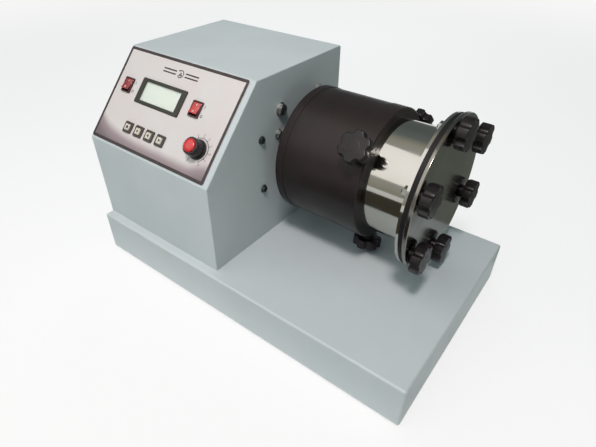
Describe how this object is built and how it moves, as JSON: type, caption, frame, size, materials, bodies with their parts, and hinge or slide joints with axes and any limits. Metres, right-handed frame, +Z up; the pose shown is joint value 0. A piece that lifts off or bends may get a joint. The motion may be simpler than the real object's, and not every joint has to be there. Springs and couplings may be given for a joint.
{
  "type": "bench jar mill",
  "caption": "Bench-top ball mill: a sloped-front drive cabinet on a plinth turns a level drum that clamps a steel jar with a bolted lid.",
  "frame": {"origin": "on the bench, under the middle of the plinth", "axes": "+X from the cabinet towards the jar's lid, +Y from front to back, +Z up"},
  "size_m": [0.6, 0.3564, 0.345],
  "materials": {
    "powder_coat": "satin powder coat, light grey-green",
    "zinc_plate": "zinc-plated sheet",
    "foot_rubber": "matte",
    "zinc_screws": "zinc plated",
    "side_bolts": "zinc plated, slightly dull",
    "inlet_plastic": "moulded",
    "printed_label": "printed label on aluminium, dark border",
    "bezel_plastic": "satin",
    "display_glass": "clear",
    "display_cell": "pale display",
    "circuit_board": "solder mask",
    "standoff_brass": "turned",
    "switch_plastic": "moulded",
    "red_rocker": "gloss",
    "key_plastic": "moulded",
    "control_steel": "plated",
    "knob_plastic": "satin",
    "red_cap": "gloss",
    "steel_plate": "mill finish",
    "housing_iron": "cast, machined faces",
    "bearing_steel": "ground",
    "pulley_aluminium": "turned",
    "belt_rubber": "matte",
    "motor_paint": "black enamel",
    "gearbox_aluminium": "die cast",
    "drum_paint": "black gloss coat",
    "seat_nylon": "turned nylon",
    "star_knob_plastic": "satin phenolic",
    "pad_brass": "turned",
    "jar_steel": "polished stainless steel",
    "ball_steel": "polished",
    "gasket_rubber": "matte",
    "lid_steel": "ground stainless steel"
  },
  "bodies": {
    "base": {"plinth_shell": "powder_coat", "plinth_bottom_plate": "zinc_plate", "rubber_feet": "foot_rubber", "cover_screws": "zinc_screws", "cabinet_shell": "powder_coat", "rear_cover": "powder_coat", "power_inlet": "inlet_plastic", "control_fascia": "printed_label", "display_bezel": "bezel_plastic", "display_window": "display_glass", "display_module": "display_cell", "key_housings": "bezel_plastic", "control_board": "circuit_board", "board_standoffs": "standoff_brass", "switch_bodies": "switch_plastic", "speed_potentiometer": "control_steel", "bearing_plate": "steel_plate", "bearing_housings": "housing_iron", "shaft_bearings": "bearing_steel", "wall_bolts": "side_bolts", "machine_bolts": "zinc_screws", "drive_belt": "belt_rubber", "drive_motor": "motor_paint", "motor_gearbox": "gearbox_aluminium", "motor_bracket": "zinc_plate", "motor_controller": "circuit_board"},
    "drum": {"main_shaft": "bearing_steel", "shaft_pulley": "pulley_aluminium", "drum_hub": "bearing_steel", "hub_bolts": "zinc_screws", "drum_rear_plate": "drum_paint", "drum_shell": "drum_paint", "drum_mouth_ring": "drum_paint", "jar_seat": "seat_nylon"},
    "motor_pulley": {"motor_pulley": "pulley_aluminium"},
    "jar": {"jar_body": "jar_steel", "flange_nuts": "zinc_screws", "grinding_balls": "ball_steel", "lid_gasket": "gasket_rubber"},
    "lid": {"lid_plate": "lid_steel"},
    "mains_rocker": {"mains_rocker": "red_rocker"},
    "run_rocker": {"run_rocker": "red_rocker"},
    "speed_knob": {"speed_knob": "knob_plastic", "speed_knob_cap": "red_cap"},
    "lid_knob_1": {"lid_knob_1": "star_knob_plastic"},
    "lid_knob_2": {"lid_knob_2": "star_knob_plastic"},
    "lid_knob_3": {"lid_knob_3": "star_knob_plastic"},
    "lid_knob_4": {"lid_knob_4": "star_knob_plastic"},
    "lid_knob_5": {"lid_knob_5": "star_knob_plastic"},
    "lid_knob_6": {"lid_knob_6": "star_knob_plastic"},
    "clamp_pad_1": {"clamp_pad_1": "pad_brass"},
    "clamp_knob_1": {"clamp_knob_1": "star_knob_plastic"},
    "clamp_pad_2": {"clamp_pad_2": "pad_brass"},
    "clamp_knob_2": {"clamp_knob_2": "star_knob_plastic"},
    "clamp_pad_3": {"clamp_pad_3": "pad_brass"},
    "clamp_knob_3": {"clamp_knob_3": "star_knob_plastic"},
    "key_1": {"key_1": "key_plastic"},
    "key_2": {"key_2": "key_plastic"},
    "key_3": {"key_3": "key_plastic"},
    "key_4": {"key_4": "key_plastic"}
  },
  "joints": [
    {"name": "drum_spin", "type": "hinge", "parent": "base", "child": "drum", "pos_m": [0, 0.053, 0.2118], "axis": [1, 0, 0], "continuous": true},
    {"name": "motor_spin", "type": "hinge", "parent": "base", "child": "motor_pulley", "pos_m": [0, -0.057, 0.13], "axis": [1, 0, 0], "continuous": true},
    {"name": "jar_slide", "type": "slide", "parent": "drum", "child": "jar", "axis": [1, 0, 0], "range_m": [0, 0.15]},
    {"name": "lid_slide", "type": "slide", "parent": "jar", "child": "lid", "axis": [1, 0, 0], "range_m": [0, 0.08]},
    {"name": "lid_knob_1_turn", "type": "hinge", "parent": "lid", "child": "lid_knob_1", "pos_m": [0.223, 0.13492, 0.26916], "axis": [1, 0, 0], "continuous": true},
    {"name": "lid_knob_2_turn", "type": "hinge", "parent": "lid", "child": "lid_knob_2", "pos_m": [0.223, 0.04428, 0.31142], "axis": [1, 0, 0], "continuous": true},
    {"name": "lid_knob_3_turn", "type": "hinge", "parent": "lid", "child": "lid_knob_3", "pos_m": [0.223, -0.03763, 0.25406], "axis": [1, 0, 0], "continuous": true},
    {"name": "lid_knob_4_turn", "type": "hinge", "parent": "lid", "child": "lid_knob_4", "pos_m": [0.223, -0.02891, 0.15444], "axis": [1, 0, 0], "continuous": true},
    {"name": "lid_knob_5_turn", "type": "hinge", "parent": "lid", "child": "lid_knob_5", "pos_m": [0.223, 0.06172, 0.11218], "axis": [1, 0, 0], "continuous": true},
    {"name": "lid_knob_6_turn", "type": "hinge", "parent": "lid", "child": "lid_knob_6", "pos_m": [0.223, 0.14363, 0.16954], "axis": [1, 0, 0], "continuous": true},
    {"name": "clamp_1_feed", "type": "slide", "parent": "drum", "child": "clamp_pad_1", "axis": [0, 0.9455, 0.3256], "range_m": [0, 0.003]},
    {"name": "clamp_1_turn", "type": "hinge", "parent": "clamp_pad_1", "child": "clamp_knob_1", "pos_m": [0.124, 0.15587, 0.24722], "axis": [0, 0.9455, 0.3256], "range_deg": [0, 720]},
    {"name": "clamp_2_feed", "type": "slide", "parent": "drum", "child": "clamp_pad_2", "axis": [0, -0.7547, 0.6561], "range_m": [0, 0.003]},
    {"name": "clamp_2_turn", "type": "hinge", "parent": "clamp_pad_2", "child": "clamp_knob_2", "pos_m": [0.124, -0.02911, 0.28318], "axis": [0, -0.7547, 0.6561], "range_deg": [0, 720]},
    {"name": "clamp_3_feed", "type": "slide", "parent": "drum", "child": "clamp_pad_3", "axis": [0, -0.1908, -0.9816], "range_m": [0, 0.003]},
    {"name": "clamp_3_turn", "type": "hinge", "parent": "clamp_pad_3", "child": "clamp_knob_3", "pos_m": [0.124, 0.03224, 0.105], "axis": [0, -0.1908, -0.9816], "range_deg": [0, 720]},
    {"name": "key_1_press", "type": "slide", "parent": "base", "child": "key_1", "axis": [0, 0.7266, -0.6871], "range_m": [0, 0.0015], "stiffness_N_per_m": 300, "springref_m": -0.0005},
    {"name": "key_2_press", "type": "slide", "parent": "base", "child": "key_2", "axis": [0, 0.7266, -0.6871], "range_m": [0, 0.0015], "stiffness_N_per_m": 300, "springref_m": -0.0005},
    {"name": "key_3_press", "type": "slide", "parent": "base", "child": "key_3", "axis": [0, 0.7266, -0.6871], "range_m": [0, 0.0015], "stiffness_N_per_m": 300, "springref_m": -0.0005},
    {"name": "key_4_press", "type": "slide", "parent": "base", "child": "key_4", "axis": [0, 0.7266, -0.6871], "range_m": [0, 0.0015], "stiffness_N_per_m": 300, "springref_m": -0.0005},
    {"name": "mains_rocker_tip", "type": "hinge", "parent": "base", "child": "mains_rocker", "pos_m": [-0.267, -0.092, 0.29814], "axis": [1, 0, 0], "range_deg": [0, 24]},
    {"name": "run_rocker_tip", "type": "hinge", "parent": "base", "child": "run_rocker", "pos_m": [-0.111, -0.092, 0.29814], "axis": [1, 0, 0], "range_deg": [0, 24]},
    {"name": "speed_knob_turn", "type": "hinge", "parent": "base", "child": "speed_knob", "pos_m": [-0.075, -0.12771, 0.25965], "axis": [0, 0.7266, -0.6871], "range_deg": [0, 300]}
  ],
  "couplings": [
    {"joint": "motor_spin", "follows": "drum_spin", "ratio": 2.4},
    {"joint": "clamp_1_turn", "follows": "clamp_1_feed", "rad_per_m": 4188.8},
    {"joint": "clamp_2_turn", "follows": "clamp_2_feed", "rad_per_m": 4188.8},
    {"joint": "clamp_3_turn", "follows": "clamp_3_feed", "rad_per_m": 4188.8}
  ]
}
